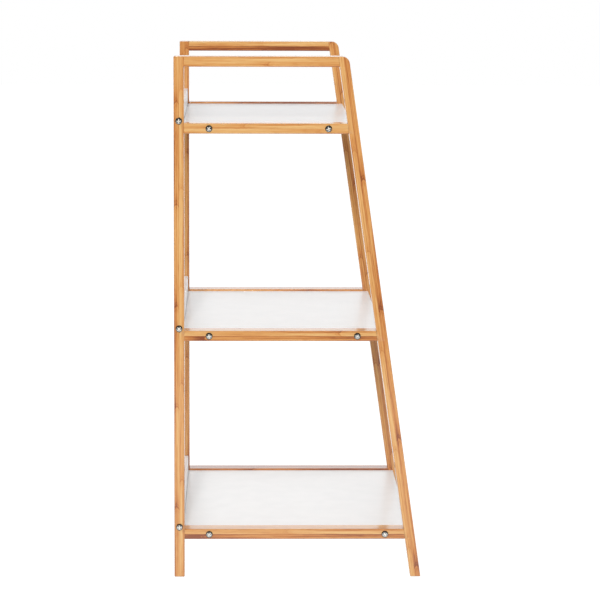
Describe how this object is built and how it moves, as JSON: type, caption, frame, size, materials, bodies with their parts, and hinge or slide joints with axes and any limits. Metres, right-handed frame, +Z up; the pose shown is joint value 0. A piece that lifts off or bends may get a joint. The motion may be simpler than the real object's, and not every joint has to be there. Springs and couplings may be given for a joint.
{
  "type": "ladder shelf",
  "caption": "Free-standing ladder shelf: bamboo end frames with upright rear posts and leaning front legs, joined by white boards that deepen towards the floor.",
  "frame": {"origin": "on the floor, in the middle of the footprint", "axes": "+Z up, +X along the shelf to the right as seen from the front, +Y to the back, so the leaning legs are at -Y and the upright posts at +Y"},
  "size_m": [0.6076, 0.4358, 0.92],
  "materials": {
    "bamboo": "laminated natural bamboo, clear satin lacquer",
    "white_board": "white satin lacquer on board",
    "screw_steel": "zinc plated, bright",
    "dowel_wood": "plain, unfinished"
  },
  "bodies": {
    "root": {"left_back_post": "bamboo", "left_front_leg": "bamboo", "left_top_rail": "bamboo", "left_upper_shelf_rail": "bamboo", "left_middle_shelf_rail": "bamboo", "left_lower_shelf_rail": "bamboo", "right_back_post": "bamboo", "right_front_leg": "bamboo", "right_top_rail": "bamboo", "right_upper_shelf_rail": "bamboo", "right_middle_shelf_rail": "bamboo", "right_lower_shelf_rail": "bamboo", "upper_shelf_board": "white_board", "upper_stop_board": "white_board", "middle_shelf_board": "white_board", "middle_stop_board": "white_board", "lower_shelf_board": "white_board", "lower_stop_board": "white_board", "left_upper_rear_board_screw": "screw_steel", "left_upper_front_board_screw": "screw_steel", "left_upper_stop_screw": "screw_steel", "left_upper_stop_peg": "dowel_wood", "left_middle_rear_board_screw": "screw_steel", "left_middle_front_board_screw": "screw_steel", "left_middle_stop_screw": "screw_steel", "left_middle_stop_peg": "dowel_wood", "left_lower_rear_board_screw": "screw_steel", "left_lower_front_board_screw": "screw_steel", "left_lower_stop_screw": "screw_steel", "left_lower_stop_peg": "dowel_wood", "left_top_rear_dowel": "dowel_wood", "left_top_front_dowel": "dowel_wood", "left_upper_rear_dowel": "dowel_wood", "left_upper_front_dowel": "dowel_wood", "left_middle_rear_dowel": "dowel_wood", "left_middle_front_dowel": "dowel_wood", "left_lower_rear_dowel": "dowel_wood", "left_lower_front_dowel": "dowel_wood", "right_upper_rear_board_screw": "screw_steel", "right_upper_front_board_screw": "screw_steel", "right_upper_stop_screw": "screw_steel", "right_upper_stop_peg": "dowel_wood", "right_middle_rear_board_screw": "screw_steel", "right_middle_front_board_screw": "screw_steel", "right_middle_stop_screw": "screw_steel", "right_middle_stop_peg": "dowel_wood", "right_lower_rear_board_screw": "screw_steel", "right_lower_front_board_screw": "screw_steel", "right_lower_stop_screw": "screw_steel", "right_lower_stop_peg": "dowel_wood", "right_top_rear_dowel": "dowel_wood", "right_top_front_dowel": "dowel_wood", "right_upper_rear_dowel": "dowel_wood", "right_upper_front_dowel": "dowel_wood", "right_middle_rear_dowel": "dowel_wood", "right_middle_front_dowel": "dowel_wood", "right_lower_rear_dowel": "dowel_wood", "right_lower_front_dowel": "dowel_wood"}
  },
  "joints": []
}
